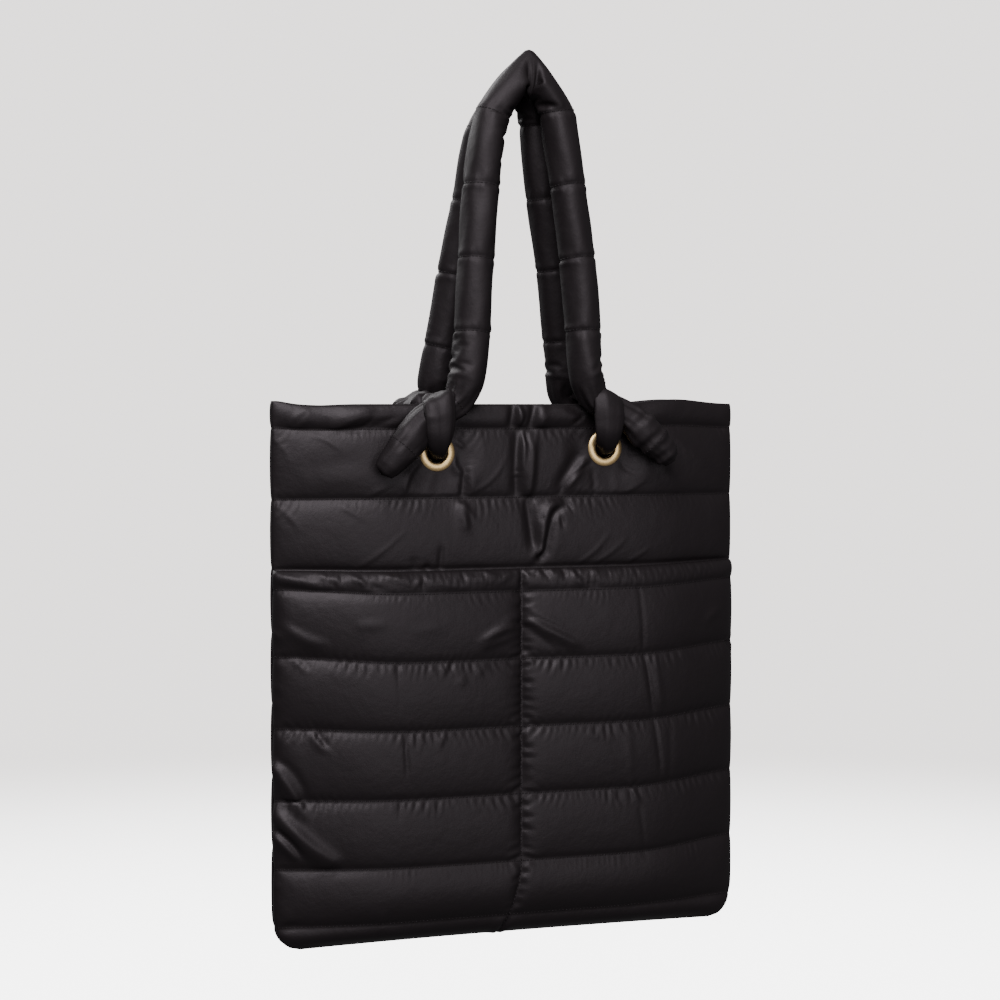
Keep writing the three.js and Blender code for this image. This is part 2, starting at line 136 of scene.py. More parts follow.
rowClimb = {"leftLow": 1.5, "leftHigh": 6.0, "right": 6.5, "start": 0.45}
bottomSag = {"middle": 2.5, "sides": 1.5}
mouthWaves = [
    {"at": 0.72, "wide": 0.17, "rise": 4.0},
    {"at": -0.99, "wide": 0.06, "rise": 2.5},
    {"at": -0.8, "wide": 0.1, "rise": -1.0},
]


# Height of a row at a place across: the lower rows climb at the sides, less so at the lower left, the bottom hangs a
# little lower, and the top edge waves
def heightAt(z, across):
    climbs = smooth(z / panelPitch) * (1 - smooth((z - pocketSeam + 18) / panelPitch))
    wave = sum(row["rise"] * bell(across - row["at"], row["wide"]) for row in mouthWaves)
    left = mix(rowClimb["leftLow"], rowClimb["leftHigh"], smooth((z - 100) / 130))
    rise = np.where(across < 0, left, rowClimb["right"])
    climb = rise * climbs * smooth((np.abs(across) - rowClimb["start"]) / (1 - rowClimb["start"]))
    sag = (bottomSag["middle"] + bottomSag["sides"] * across ** 2) * smooth((60 - z) / 50)
    return z + climb - sag + wave * smooth((z - eyeletZ) / 39)


# Rows from seam to seam at a step, with each row's place between its seams
def rowsThrough(seams, step):
    heights, shares = [np.array([seams[0]])], [np.array([0.0])]
    for low, high in zip(seams[:-1], seams[1:]):
        count = max(3, round((high - low) / step))
        share = np.arange(1, count + 1) / count
        heights.append(mix(low, high, share))
        shares.append(share)
    return np.concatenate(heights), np.concatenate(shares)


def seamsDown(highest, pitch):
    count = int((highest - bottomStitch - pitch * 0.4) // pitch)
    return [bottomStitch] + [highest - pitch * step for step in range(count, -1, -1)]


# Normals of a grid: its step across crossed with its step along, made one long
def gridNormals(points, wrap):
    if wrap:
        side = np.roll(points, -1, 1) - np.roll(points, 1, 1)
    else:
        side = np.gradient(points, axis=1)
    normal = np.cross(side, np.gradient(points, axis=0))
    return normal / (np.linalg.norm(normal, axis=2, keepdims=True) + 1e-9)


# Cloth on springs, solved by moving both ends of each spring to its rest length. Rest lengths are those of the
# flat points times 1 + excess, the wadding pushes the cloth along its normals until it reaches the ceiling, and
# held points stay.
def relaxCloth(start, flat, wide, tall, hold, push, floorDepth=None, ceiling=None, face=-1, wrap=False, steps=70,
               passes=2):
    rows, cols = start.shape[:2]
    ids = np.arange(rows * cols).reshape(rows, cols)
    rowIndex, colIndex = np.divmod(ids, cols)
    flatPoints = flat.reshape(-1, 3)
    springs = []
    # Rows down, columns across and stiffness of each kind of spring: threads, slants, and two apart against bending
    bend = cloth["bend"]
    families = [(0, 1, 1.0), (1, 0, 1.0), (1, 1, 0.4), (1, -1, 0.4), (0, 2, bend), (2, 0, bend)]
    for down, across, stiffness in families:
        one = ids[:rows - down]
        other = ids[down:]
        if wrap:
            other = np.roll(other, -across, 1)
        elif across > 0:
            one, other = one[:, :cols - across], other[:, across:]
        elif across < 0:
            one, other = one[:, -across:], other[:, :cols + across]
        one, other = one.ravel(), other.ravel()
        index = rowIndex.ravel()[one] // down if down else colIndex.ravel()[one] // abs(across)
        excess = (wide.ravel() * abs(across) + tall.ravel() * down) / (abs(across) + down)
        gap = flatPoints[other] - flatPoints[one]
        rest = np.linalg.norm(gap, axis=1) * (1 + excess[one])
        for parity in (0, 1):
            pick = index % 2 == parity
            springs.append((one[pick], other[pick], rest[pick].astype(np.float32), stiffness))
    home = start.reshape(-1, 3).astype(np.float32)
    free = (1 - hold.reshape(-1, 1)).astype(np.float32)
    noise = rng.normal(0, cloth["uneven"], home.shape).astype(np.float32)
    points = home + noise * free
    before = points.copy()
    turn = 1 if ceiling is None or face < 0 else -1
    for _ in range(steps):
        normal = gridNormals(points.reshape(rows, cols, 3), wrap).reshape(-1, 3)
        press = push
        if ceiling is not None:
            press = push * clamp((ceiling.ravel() - face * points[:, 1]) / cloth["stop"], -1, 1)[:, None]
        moved = points + cloth["keep"] * (points - before) + (press * normal * turn).astype(np.float32)
        before, points = points, home + (moved - home) * free
        for _ in range(cloth["rounds"]):
            for one, other, rest, stiffness in springs:
                gap = points[other] - points[one]
                length = np.sqrt((gap * gap).sum(1)) + 1e-6
                pull = gap * (0.5 * stiffness * (1 - rest / length))[:, None]
                points[one] += pull * free[one]
                points[other] -= pull * free[other]
        if floorDepth is not None:
            depth = face * points[:, 1]
            points[:, 1] = face * np.maximum(depth, floorDepth.ravel())
    points = points.reshape(rows, cols, 3)
    for _ in range(passes):
        points = softened(points, hold, wrap)
    return points.astype(float)


# One pass of smoothing that leaves the held points alone
def softened(points, hold, wrap):
    if wrap:
        side = (np.roll(points, 1, 1) + np.roll(points, -1, 1)) / 2
    else:
        side = points.copy()
        side[:, 1:-1] = (points[:, :-2] + points[:, 2:]) / 2
    up = points.copy()
    up[1:-1] = (points[:-2] + points[2:]) / 2
    share = 0.5 * (1 - hold[..., None])
    return points + share * ((side + up) / 2 - points)


# Quads between neighbouring rows and columns of a grid
def gridFaces(rows, cols, wrap=False, flip=False, first=0):
    ids = np.arange(rows * cols).reshape(rows, cols) + first
    left = ids if wrap else ids[:, :-1]
    right = np.roll(ids, -1, 1) if wrap else ids[:, 1:]
    faces = np.stack([left[:-1], right[:-1], right[1:], left[1:]], -1).reshape(-1, 4)
    return faces[:, ::-1] if flip else faces


# A piece from points in millimetres, put in place in metres
def makePiece(name, points, faces, material, node):
    place = (points.reshape(-1, 3) + bagOrigin) / 1000
    mesh = bpy.data.meshes.new(name)
    mesh.from_pydata(place.tolist(), [], [list(face) for face in faces])
    mesh.polygons.foreach_set("use_smooth", [True] * len(mesh.polygons))
    mesh.materials.append(material)
    piece = bpy.data.objects.new(name, mesh)
    bpy.context.scene.collection.objects.link(piece)
    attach(piece, "root")
    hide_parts(node)
    return piece


# A socket of a shader with arithmetic
class Field:
    def __init__(self, tree, socket):
        self.tree, self.socket = tree, socket

    def combine(self, kind, other, swap=False):
        node = self.tree.nodes.new("ShaderNodeMath")
        node.operation = kind
        first, second = (other, self) if swap else (self, other)
        for slot, value in zip(node.inputs, (first, second)):
            if isinstance(value, Field):
                self.tree.links.new(value.socket, slot)
            else:
                slot.default_value = value
        return Field(self.tree, node.outputs[0])

    def __add__(self, other):
        return self.combine("ADD", other)

    def __radd__(self, other):
        return self.combine("ADD", other, True)

    def __mul__(self, other):
        return self.combine("MULTIPLY", other)

    def __rmul__(self, other):
        return self.combine("MULTIPLY", other, True)


# A material with one method for all its nodes
class Shader:
    def __init__(self, name):
        self.material = bpy.data.materials.new(name)
        self.material.use_nodes = True
        self.tree = self.material.node_tree
        self.surface = self.tree.nodes["Principled BSDF"]

    def node(self, kind, settings=None, inputs=None):
        made = self.tree.nodes.new(kind)
        for key, value in (settings or {}).items():
            setattr(made, key, value)
        for key, value in (inputs or {}).items():
            self.feed(made.inputs[key], value)
        return made

    def feed(self, slot, value):
        if isinstance(value, Field):
            self.tree.links.new(value.socket, slot)
        elif isinstance(value, bpy.types.NodeSocket):
            self.tree.links.new(value, slot)
        else:
            slot.default_value = value

    def set(self, **inputs):
        for key, value in inputs.items():
            self.feed(self.surface.inputs[key.replace("_", " ")], value)

    def noise(self, place, scale, detail, roughness=0.5):
        inputs = {"Vector": place, "Scale": scale, "Detail": detail, "Roughness": roughness}
        return Field(self.tree, self.node("ShaderNodeTexNoise", inputs=inputs).outputs["Fac"])

    # The room's own light, brightest on the floor round the object
    def glow(self):
        place = self.node("ShaderNodeTexCoord").outputs["Object"]
        reach = self.node("ShaderNodeVectorMath", {"operation": "LENGTH"}, {0: place}).outputs["Value"]
        ramp = self.node("ShaderNodeMapRange", {"interpolation_type": "SMOOTHSTEP"},
                         {"Value": reach, "From Min": 0.9, "From Max": 2.4}).outputs["Result"]
        blend = self.node("ShaderNodeMix", {"data_type": "RGBA"},
                          {"Factor": ramp, "A": (1.0, 1.0, 1.0, 1), "B": (0.37, 0.355, 0.348, 1)})
        return blend.outputs["Result"]

    def bump(self, height, strength, distance):
        inputs = {"Height": height, "Strength": strength, "Distance": distance}
        self.set(Normal=self.node("ShaderNodeBump", inputs=inputs).outputs["Normal"])


# Smooth black nylon: small soft creases, a finer grain and a faint purple sheen
def nylonMaterial(name, roughness):
    shader = Shader(name)
    place = shader.node("ShaderNodeTexCoord").outputs["Object"]
    crease = shader.noise(place, 70.0, 4.0, 0.6)
    grain = shader.noise(place, 900.0, 2.0)
    shader.set(Base_Color=(0.0095, 0.0073, 0.0081, 1), Roughness=roughness + 0.1 * shader.noise(place, 30.0, 2.0))
    shader.surface.inputs["Specular IOR Level"].default_value = 0.28
    shader.surface.inputs["Specular Tint"].default_value = (1.0, 0.9, 0.97, 1)
    shader.bump(crease * 0.95 + grain * 0.05, 0.3, 0.0022)
    return shader.material


# Satin pale gold with a fine grain
def goldMaterial():
    shader = Shader("paleGold")
    place = shader.node("ShaderNodeTexCoord").outputs["Object"]
    shader.set(Base_Color=(1.0, 0.71, 0.35, 1), Metallic=1.0, Roughness=0.36 + 0.1 * shader.noise(place, 260.0, 3.0))
    shader.bump(shader.noise(place, 420.0, 2.0), 0.06, 0.0003)
    return shader.material


nylon = nylonMaterial("blackNylon", 0.43)
matteNylon = nylonMaterial("matteNylon", 0.52)
gold = goldMaterial()

across = np.linspace(-1, 1, 261)
eyeletPlaces = [(side * eyeletX + eyeletShift, eyeletZ + lift) for side, lift in zip((-1, 1), eyeletLift)]


# How near a place is to the flat patch under an eyelet, 1 on the patch
def padNear(x, z, reach=12):
    near = [1 - smooth((np.hypot(x - place, z - height) - padRadius) / reach) for place, height in eyeletPlaces]
    return np.maximum(*near)


# Outer and inner depth of a panel without its swelling. Behind the pocket it is pressed flat.
def panelDepths(a, z, covered):
    fill = fillDepth * fillAcross(a) * fillUp(z)
    inside = seamGap / 2 + fill
    edge = roundEdge(1 - np.abs(a), 0.08) * roundEdge(z, bottomStitch)
    outer = inside + seamWall + covered * pressedPuff * edge
    near = padNear(a * halfWidth, z)
    return mix(outer, padDepth, near), mix(inside, padDepth - padWall, near)


# Outer and inner depth of the pocket: the panel behind it, the room between them, and the wall
def pocketDepths(a, z):
    behind, _ = panelDepths(a, z, 1.0)
    room = puffAt(np.abs(a)) * smooth(z / (0.8 * pocketHeight)) * pocketRoom
    inner = behind + seamClear + room * (1 - 0.45 * smooth((z - pocketSeam) / (pocketHeight - pocketSeam)))
    return inner + seamWall + hemRoll * (roundEdge(pocketHeight - z, 5) - 1) * (z > pocketSeam), inner


# Points from a share of the width, a height and a depth
def placed(a, z, puff, depth, face):
    x = a * halfWidthAt(z, puff)
    return np.stack([x, face * depth, heightAt(z, a)], -1)


# Folds pressed into a sheet: from x, z to x, z, how far the fold bows, its width, its rise outwards (negative for a
# valley) and how much wider one flank is than the other
pocketFolds = [
    (-208, 297, -159, 285, 0, 4.0, 1.2, 0.3), (-171, 296, -152, 290, 0, 2.4, 1.0, 0),
    (-143, 295, -128, 284, 0, 3.0, 1.8, 0.5), (-139, 287, -117, 284, 0, 2.4, -1.4, 0),
    (-120, 294, -95, 287, 0, 3.0, 1.5, -0.4), (-92, 287, -87, 291, 0, 2.0, 1.6, 0),
    (-88, 291, -85, 281, 0, 2.0, -1.4, 0), (-83, 289, -52, 285, 0, 3.0, 1.0, 0),
    (-49, 290, -20, 290, 0, 3.0, 1.3, 0.4), (-36, 296, -22, 291, 0, 2.2, 1.4, 0), (-20, 288, -9, 294, 0, 2.6, 1.2, 0),
    (-208, 288, -175, 284, 0, 3.0, -0.8, 0), (3, 296, 14, 292, 0, 2.0, -1.2, 0), (7, 298, 13, 296, 0, 2.4, 1.4, 0),
    (17, 298, 23, 289, 0, 2.2, -1.6, 0), (22, 299, 31, 289, 0, 3.0, 1.2, 0.3), (35, 299, 37, 291, 0, 2.2, -1.4, 0),
    (42, 297, 58, 286, 3, 3.0, 1.6, 0.4), (45, 295, 64, 283, 3, 2.0, -1.4, 0), (58, 297, 69, 289, 0, 3.0, 0.9, 0),
    (88, 296, 102, 298, 0, 2.4, 0.9, 0), (72, 290, 127, 293, 0, 4.0, 0.5, 0),
    (-194, 255, -165, 241, 2, 5.0, 1.8, 0.3), (-210, 256, -196, 246, 0, 3.0, 1.4, 0.3),
    (-141, 255, -117, 256, 0, 4.0, 0.9, 0), (-37, 241, -9, 252, -2, 4.0, 3.0, 0.4),
    (-37, 235, -6, 244, 0, 3.0, 1.0, 0), (-20, 255, -4, 260, 0, 2.4, 0.8, 0), (-97, 251, -71, 252, 0, 5.0, 0.5, 0),
    (-107, 226, -107, 210, 0, 1.8, -1.0, 0.3), (-107, 210, -106, 189, 0, 2.2, -0.4, 0),
    (-101, 170, -100, 134, 0, 1.8, -0.9, 0.3), (-190, 231, -177, 222, 0, 2.6, 1.2, 0.4),
    (-181, 226, -176, 222, 0, 2.0, -1.2, 0), (-210, 226, -196, 204, 4, 3.0, 0.8, 0),
    (-208, 204, -198, 191, 2, 3.0, 0.9, 0), (-174, 174, -160, 156, 3, 3.0, 1.4, 0.4),
    (-169, 171, -163, 160, 0, 2.0, -1.4, 0), (-207, 162, -194, 140, 3, 4.0, 1.4, 0.3),
    (-64, 224, -70, 215, 0, 2.4, 1.0, 0.4), (-62, 224, -65, 217, 0, 1.8, -1.2, 0),
    (-57, 212, -52, 206, 0, 4.0, 0.9, 0), (-68, 167, -73, 157, 0, 2.4, 1.0, 0.3),
    (-35, 219, -42, 214, 0, 3.0, 0.9, 0), (-207, 151, -179, 106, -2, 5.0, 3.6, 0.4),
    (-205, 113, -155, 67, 3, 7.0, 4.4, 0.3), (-209, 99, -183, 71, 0, 4.0, 3.4, 0.3),
    (-210, 102, -181, 71, -2, 3.0, -3.0, 0), (-199, 150, -177, 115, -4, 3.0, -1.2, 0),
    (-104, 115, -105, 100, 0, 1.8, -0.8, 0.3), (-101, 165, -97, 120, 0, 1.8, -0.5, 0),
    (-207, 56, -198, 46, 0, 3.0, 0.8, 0), (-209, 43, -191, 23, 0, 4.0, 0.5, 0), (-116, 26, -111, 9, 0, 4.0, 0.6, 0),
    (-198, 13, -183, 17, 0, 3.0, -1.2, 0), (101, 282, 104, 246, 0, 2.0, -0.7, 0),
    (104, 246, 106, 229, 0, 1.8, -1.2, 0.4), (107, 225, 115, 177, 0, 2.0, -1.6, 0.4),
    (115, 223, 122, 176, 0, 3.5, 0.8, 0), (116, 172, 124, 124, 0, 2.0, -1.2, 0.4),
    (131, 167, 132, 109, 0, 3.0, -0.5, 0), (95, 117, 103, 102, 0, 2.0, 1.0, 0.3),
    (103, 102, 111, 56, 0, 2.0, -0.6, 0.3), (90, 169, 95, 119, 0, 4.0, 0.4, 0), (3, 257, 47, 235, 0, 4.0, 2.4, 0.4),
    (5, 264, 34, 250, 0, 2.4, 1.0, 0), (0, 253, 23, 234, 0, 3.0, -1.0, 0), (0, 227, 9, 222, 0, 2.4, 1.0, 0),
    (52, 161, 74, 158, 0, 2.4, 0.5, 0), (168, 250, 182, 260, 0, 4.0, 1.0, 0), (136, 228, 150, 221, 0, 3.0, 0.8, 0),
]


# Each fold moves the sheet along its normals, as a bell across the fold's line that fades past its ends
def pressFolds(points, normals, folds, share):
    x, z = points[..., 0], points[..., 2]
    shift = np.zeros_like(x)
    for fromX, fromZ, toX, toZ, bow, width, rise, skew in folds:
        runX, runZ = toX - fromX, toZ - fromZ
        length = np.hypot(runX, runZ)
        along = ((x - fromX) * runX + (z - fromZ) * runZ) / length ** 2
        bowed = bow * 4 * clamp(along) * (1 - clamp(along))
        off = ((x - fromX) * runZ - (z - fromZ) * runX) / length - bowed
        flank = width * np.where(off > 0, 1 + skew, 1 - skew)
        beyond = np.maximum(0, np.maximum(-along, along - 1)) * length
        fade = bell(beyond, 4.0) * (0.3 + 0.7 * puffAt(clamp(along)))
        shift += rise * bell(off, flank) * fade
    return points + normals * (shift * share)[..., None]


# A closed padded sheet: the outer face, the inner face behind it, and a rim round both
def closedSheet(outer, inner, face):
    rows, cols = outer.shape[:2]
    count = rows * cols
    faces = [gridFaces(rows, cols, flip=face > 0), gridFaces(rows, cols, flip=face < 0, first=count)]
    ids = np.arange(count).reshape(rows, cols)
    border = np.concatenate([ids[0, :-1], ids[:-1, -1], ids[-1, :0:-1], ids[:0:-1, 0]])
    following = np.roll(border, -1)
    rim = np.stack([border, border + count, following + count, following], -1)
    faces.append(rim if face < 0 else rim[:, ::-1])
    return np.concatenate([outer.reshape(-1, 3), inner.reshape(-1, 3)]), np.concatenate(faces)


# Values of a line of points at places along it
def alongLine(places, run, line):
    return np.stack([np.interp(places, run, line[:, i]) for i in range(3)], -1)


# Small stitches along a line of points: flat lozenges of eight points, a little above the cloth
def stitchMesh(line, normals, first):
    run = np.concatenate([[0], np.cumsum(np.linalg.norm(np.diff(line, axis=0), axis=1))])
    places = np.arange(stitch["pitch"] / 2, run[-1], stitch["pitch"])
    centre = alongLine(places, run, line)
    up = alongLine(places, run, normals)
    along = alongLine(places + 0.5, run, line) - alongLine(places - 0.5, run, line)
    along /= np.linalg.norm(along, axis=1, keepdims=True) + 1e-9
    up /= np.linalg.norm(up, axis=1, keepdims=True) + 1e-9
    side = np.cross(along, up)
    corners = []
    for end in (-1, 1):
        for s, h in ((-1, 0), (0, -0.6), (1, 0), (0, 1)):
            half = stitch["length"] / 2 * (0.45 if h > 0 else 1.0)
            lift = h * stitch["radius"] + stitch["lift"]
            corners.append(centre + along * (end * half) + side * (s * stitch["radius"]) + up * lift)
    points = np.stack(corners, 1).reshape(-1, 3)
    base = first + 8 * np.arange(len(places))[:, None]
    quads = np.array([[0, 1, 5, 4], [1, 2, 6, 5], [2, 3, 7, 6], [3, 0, 4, 7], [3, 2, 1, 0], [4, 5, 6, 7]])
    return points, (base[:, :, None] + quads.ravel()[None, None]).reshape(-1, 4)


# A piece's mesh with the stitches of its seams
def withStitches(points, faces, lines):
    parts, quads, total = [points], [faces], len(points)
    for line, normals in lines:
        more, moreFaces = stitchMesh(line, normals, total)
        parts.append(more)
        quads.append(moreFaces)
        total += len(more)
    return np.concatenate(parts), np.concatenate(quads)


# Drops the faces round each eyelet's axis, where the strap goes through
def punched(points, faces):
    centre = points[faces].mean(1)
    keep = np.ones(len(faces), bool)
    for place, height in eyeletPlaces:
        keep &= np.hypot(centre[:, 0] - place, centre[:, 2] - height) > holeRadius
    return faces[keep]


# The pleats: their pace along a row and down the middle seam, how far they reach from the middle seam, and their
# strength to its left and right
pleat = {"pitch": 10.5, "middlePitch": 7.5, "middleReach": 7.0, "left": 0.7, "right": 0.45}
# The bottom of the middle seam bends to one side, by so much over so much height
seamDrift = {"shift": -15, "height": 55}


# Wave of small pleats with broad ridges and narrow valleys, at an uneven pace
def pleatWave(spot, pitch, wander):
    phase = spot * 2 * np.pi / pitch + 2.9 * np.sin(spot / 19 + wander[0]) + 1.9 * np.sin(spot / 11 + wander[1])
    height = 0.6 + 0.4 * np.sin(spot / 6.3 + 2 * np.sin(spot / 31 + wander[1]))
    return height * (1 - 2 * (0.5 + 0.5 * np.cos(phase)) ** 2.5)


# How much each seam gathers the cloth beside it, and the pleats that this starts: they reach further below a seam
# than above it, lean towards the middle of their half, and are stronger in some stretches than in others
def seamPleats(a, z, seams, gathers, centreSeam):
    x = a * halfWidth
    half = np.where(a < 0, a + 1, a) if centreSeam else (a + 1) / 2
    lean = 0.7 * np.cos(np.pi * half)
    gather, shape = np.zeros(a.shape), np.zeros(a.shape)
    for seam, strength in zip(seams, gathers):
        wander = rng.uniform(0, 2 * np.pi, 5)
        below = seam - z
        spot = x - lean * below
        stretch = strength * (0.35 + 0.65 * np.sin(spot / 27 + wander[2]) ** 2)
        reach = 6 + 10 * np.sin(spot / 17 + wander[3]) ** 4
        fade = stretch * np.where(below >= 0, bell(below, reach), 0.5 * bell(below, 5.0))
        gather = np.maximum(gather, fade)
        shape += fade * smooth(np.abs(below) / 3) * pleatWave(spot, pleat["pitch"], wander)
    if centreSeam:
        side = np.abs(x)
        fade = np.where(x > 0, pleat["right"], pleat["left"]) * bell(side, pleat["middleReach"])
        wander = rng.uniform(0, 2 * np.pi, 2)
        shape += fade * smooth(side / 3) * pleatWave(z + 0.3 * side, pleat["middlePitch"], wander)
    clear = 1 - padNear(x, z)
    return gather * clear, shape * clear


# One quilted sheet: its start shape, its cloth run, its folds and stitches
def quiltedSheet(heights, shares, seams, depthsAt, face, puffOut, puckers, gathers, extraHold=None, extraWide=None,
                 folds=(), centreSeam=False, lastRowHold=1.0):
    a, z = np.meshgrid(across, heights)
    share = np.broadcast_to(shares[:, None], a.shape)
    puff = puffAt(share)
    outer, inner = depthsAt(a, z)
    edge = roundEdge(1 - np.abs(a), 0.14) * roundEdge(z, bottomStitch)
    swell = puff ** 1.15 * edge * (roundEdge(np.abs(a), 0.09) if centreSeam else 1)
    swell = swell * (1 - padNear(a * halfWidth, z, 24))
    gather, pleats = seamPleats(a, z, seams, gathers, centreSeam)
    ceiling = outer + puffOut * swell
    flat = placed(a, z, puff, outer, face)
    start = placed(a, z, puff, outer + 0.8 * puffOut * swell + 7 * puckers * pleats, face)
    hold = np.zeros(a.shape)
    seamRows = [int(np.argmin(np.abs(heights - seam))) for seam in seams]
    hold[seamRows] = 1
    hold[0] = 1
    hold[-1] = lastRowHold
    hold[:, [0, -1]] = 1
    middle = a.shape[1] // 2
    if centreSeam:
        hold[:, middle] = 1
    if extraHold is not None:
        hold = np.maximum(hold, extraHold(a, z))
    wide = 0.004 + puckers * gather
    tall = 0.02 + 0 * a
    if centreSeam:
        tall = tall + 0.8 * puckers * bell(a * halfWidth, 8.0)
    if extraWide is not None:
        wide = wide + extraWide(a, z)
    points = relaxCloth(start, flat, wide, tall, hold, 0.04, inner + 1.0, ceiling, face, passes=1)
    normals = gridNormals(points, False) * (1 if face < 0 else -1)
    points = pressFolds(points, normals, folds, 1 - 0.6 * hold)
    lines = [(points[row], normals[row]) for row in seamRows]
    if centreSeam:
        lines.append((points[:, middle], normals[:, middle]))
    inside = placed(a, z, puff, inner, face)
    if centreSeam:
        drift = seamDrift["shift"] * (1 - clamp(z / seamDrift["height"])) ** 1.4 * (1 - a * a) ** 2
        points[..., 0] += drift
        inside[..., 0] += drift
    body, faces = closedSheet(points, inside, face)
    return body, faces, lines


# The pocket
pocket = {"seams": seamsDown(pocketSeam, pocketPitch), "rowStep": 2.05, "puffOut": 4.0, "puckers": 0.11,
          "gathers": [0.35, 0.45, 0.9, 1.0, 1.0, 0.4]}
heights, shares = rowsThrough([0.0] + pocket["seams"] + [pocketHeight], pocket["rowStep"])
body, faces, lines = quiltedSheet(
    heights, shares, pocket["seams"], pocketDepths, -1, pocket["puffOut"], pocket["puckers"],
    pocket["gathers"], folds=pocketFolds,
    centreSeam=True, lastRowHold=0.25, extraWide=lambda a, z: 0.06 * smooth((z - pocketSeam) / 8))
points, faces = withStitches(body, faces, lines)
pocketPiece = makePiece("pocket_front", points, faces, nylon, "front_pocket")
print("pocket", len(faces))


# The front panel: fine rows above the pocket, coarse rows behind it. The cloth under the eyelets is held.
def eyeletHold(a, z):
    x = a * halfWidth
    held = np.zeros(a.shape)
    for place, height in eyeletPlaces:
        held = np.maximum(held, 1.0 * (np.hypot(x - place, z - height) < padRadius - 1.5))
    return held


frontFolds = [
    (-188, 412, -173, 426, 0, 5.0, 1.9, 0.4), (-186, 413, -174, 424, 0, 2.4, -1.2, 0),
    (-157, 410, -124, 424, 0, 6.0, 2.2, -0.4), (-144, 410, -123, 418, 3, 2.2, -1.0, 0.3),
    (-124, 412, -101, 420, 0, 4.0, -1.4, 0), (-169, 405, -148, 393, -1.5, 1.8, 0.6, 0),
    (-204, 407, -188, 386, -1.5, 1.8, 0.4, 0), (-166, 369, -124, 373, 0, 9.0, 0.7, -0.2),
    (-174, 381, -130, 384, 0, 8.0, -0.7, 0), (-83, 383, -97, 359, 3, 3.0, 1.6, 0.5),
    (-127, 357, -110, 365, 0, 1.8, 0.5, 0), (-72, 375, -79, 356, 0, 4.0, 0.4, 0),
    (-54, 387, -46, 374, 3, 3.6, 2.2, 0.5), (-46, 378, -49, 355, 0, 3.4, -2.6, -0.3),
    (-42, 380, -40, 361, 0, 5.0, 1.0, 0), (-12, 386, -41, 359, -4.5, 1.8, 0.6, 0),
    (-53, 401, -46, 395, 0, 2.0, 1.2, 0), (-197, 350, -181, 331, -1, 1.8, 0.5, 0),
    (-148, 349, -130, 338, 0, 1.8, 0.6, 0), (-135, 301, -99, 328, 1.5, 1.8, 0.6, 0),
    (-49, 351, -46, 329, 0, 4.5, 2.4, 0.3), (-47, 349, -39, 338, 0, 2.0, 1.2, 0),
    (-67, 316, -68, 297, 0, 2.5, -1.4, 0), (-79, 302, -79, 296, 0, 2.5, -1.2, 0),
    (-90, 308, -89, 297, 0, 3.0, -0.8, 0), (-3, 430, -6, 411, 0, 3.6, -3.4, 0), (1, 430, 3, 411, 0, 3.2, 2.8, 0),
    (2, 429, 6, 425, 0, 1.6, -1.2, 0), (6, 419, 2, 410, 0, 1.6, -1.4, 0), (15, 430, 11, 412, 0, 3.2, -3.2, 0),
    (22, 430, 19, 412, 0, 5.0, 2.0, 0), (18, 414, 51, 422, -5, 6.0, 1.8, 0.3), (43, 427, 59, 420, 0, 2.2, -1.8, 0),
    (45, 430, 58, 424, 0, 2.0, -1.2, 0), (49, 414, 58, 420, 0, 1.8, -1.4, 0), (1, 409, -2, 373, 0, 5.0, -4.6, 0),
    (-2, 373, -1, 356, 0, 5.0, -3.4, 0), (5, 407, 2, 376, 0, 3.4, 3.8, 0.3), (6, 407, 8, 398, 0, 1.6, -1.6, 0),
    (13, 400, 9, 355, 0, 6.0, 3.4, 0.5), (55, 390, 36, 358, 2, 6.0, -3.4, 0), (60, 385, 40, 361, 0, 3.6, 3.2, 0),
    (64, 381, 38, 359, 3, 1.5, -1.8, 0), (66, 377, 67, 356, 0, 2.5, -0.8, 0), (86, 377, 87, 357, 0, 4.0, 0.4, 0),
    (91, 382, 109, 374, 3, 2.2, -1.0, 0), (113, 368, 91, 357, -1.5, 1.8, 0.6, 0),
    (119, 389, 147, 356, 0, 5.0, 0.8, 0), (133, 406, 175, 380, 0, 6.0, 0.7, 0), (8, 353, 12, 314, 0, 5.0, -4.6, 0),
    (35, 349, 22, 335, 3, 4.0, 3.4, 0.2), (22, 335, 18, 313, 0, 4.0, 3.6, 0.2), (40, 347, 28, 334, 3, 3.6, -3.2, 0),
    (28, 334, 22, 307, 0, 4.0, -3.8, 0), (38, 353, 42, 347, 0, 1.8, -1.2, 0), (41, 354, 47, 344, 0, 1.8, -1.5, 0),
    (37, 339, 38, 330, 0, 1.8, -1.6, 0), (14, 308, 19, 313, 0, 2.0, 2.4, 0), (16, 303, 21, 308, 0, 3.0, -2.6, 0),
    (77, 322, 53, 301, -1.5, 1.8, 0.6, 0), (93, 319, 67, 301, -1.5, 1.8, 0.5, 0), (116, 311, 97, 301, 0, 1.8, 0.5, 0),
    (17, 312, 20, 314, 0, 2.4, 1.6, 0), (105, 419, 144, 430, 0, 6.0, 1.0, 0), (95, 425, 108, 430, 0, 4.0, 1.2, 0),
]
frontPanel = {"seams": [panelSeam - panelPitch, panelSeam], "puffOut": 4.4, "puckers": 0.1, "gathers": [0.45, 0.35]}
lowHeights, lowShares = rowsThrough([0.0, bottomStitch, 280.0], 6.0)
highHeights, highShares = rowsThrough([280.0, pocketHeight] + frontPanel["seams"] + [bagHeight], 1.7)
heights = np.concatenate([lowHeights, highHeights[1:]])
shares = np.concatenate([0 * lowShares, np.where(highHeights[1:] <= pocketHeight, 0, highShares[1:])])
